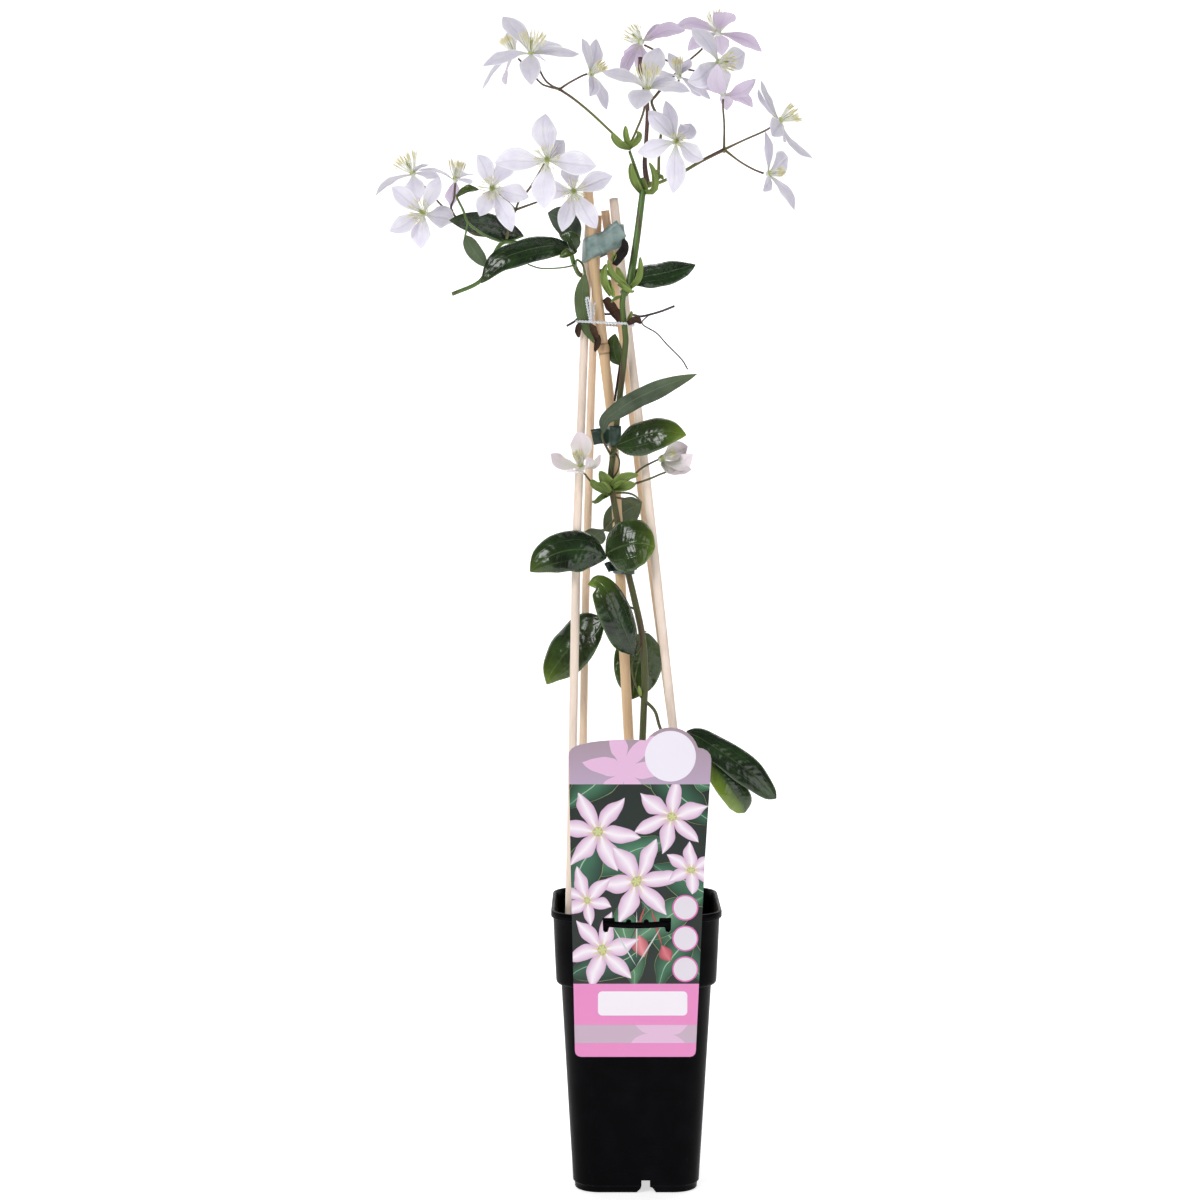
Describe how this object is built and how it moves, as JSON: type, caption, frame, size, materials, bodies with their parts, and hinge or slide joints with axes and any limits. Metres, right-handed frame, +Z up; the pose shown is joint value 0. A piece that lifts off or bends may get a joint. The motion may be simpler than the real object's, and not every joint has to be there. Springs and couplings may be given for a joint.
{
  "type": "clematis plant on a trellis",
  "caption": "Flowering evergreen clematis with white-lilac blooms, tied to a small support of five bamboo canes in a square black nursery pot with a hanging card label.",
  "frame": {"origin": "middle of the underside of the pot", "axes": "+X to the right seen from the front, +Y away from the front where the label hangs, +Z up"},
  "size_m": [0.3112, 0.1462, 0.8406],
  "materials": {
    "pot_plastic": "satin moulded black",
    "soil": "rough dark compost",
    "card": null,
    "bamboo": "natural smooth bamboo",
    "tape": "soft grey-green tape",
    "dark_tape": "soft dark green tape",
    "string": "thin twisted cord",
    "wire": "coated thin wire",
    "leaf": "glossy leathery leaf",
    "stalk": "dark brown young wood",
    "petal": "soft white-lilac petal",
    "stamen": "cream stamens on a yellow-green middle"
  },
  "bodies": {
    "root": {"pot": "pot_plastic", "soil": "soil", "label": "card", "cane_front_left": "bamboo", "cane_back_left": "bamboo", "cane_middle": "bamboo", "cane_back_right": "bamboo", "cane_front_right": "bamboo", "tape_top": "tape", "tape_middle": "dark_tape", "tape_low": "dark_tape", "string": "string", "tie_wire": "wire", "main_vine": "leaf", "side_shoot": "leaf", "stalks_left": "stalk", "stalks_top": "stalk", "stalks_front": "stalk", "stalks_back": "stalk", "petals_01": "petal", "stamens_01": "stamen", "petals_02": "petal", "stamens_02": "stamen", "petals_03": "petal", "stamens_03": "stamen", "petals_04": "petal", "stamens_04": "stamen", "petals_05": "petal", "stamens_05": "stamen", "petals_06": "petal", "stamens_06": "stamen", "petals_07": "petal", "stamens_07": "stamen", "petals_08": "petal", "stamens_08": "stamen", "petals_09": "petal", "stamens_09": "stamen", "petals_10": "petal", "stamens_10": "stamen", "petals_11": "petal", "stamens_11": "stamen", "petals_12": "petal", "stamens_12": "stamen", "petals_13": "petal", "stamens_13": "stamen", "petals_14": "petal", "stamens_14": "stamen", "petals_15": "petal", "stamens_15": "stamen", "petals_16": "petal", "stamens_16": "stamen", "petals_17": "petal", "stamens_17": "stamen", "petals_18": "petal", "stamens_18": "stamen", "petals_19": "petal", "stamens_19": "stamen", "petals_20": "petal", "stamens_20": "stamen"}
  },
  "joints": []
}
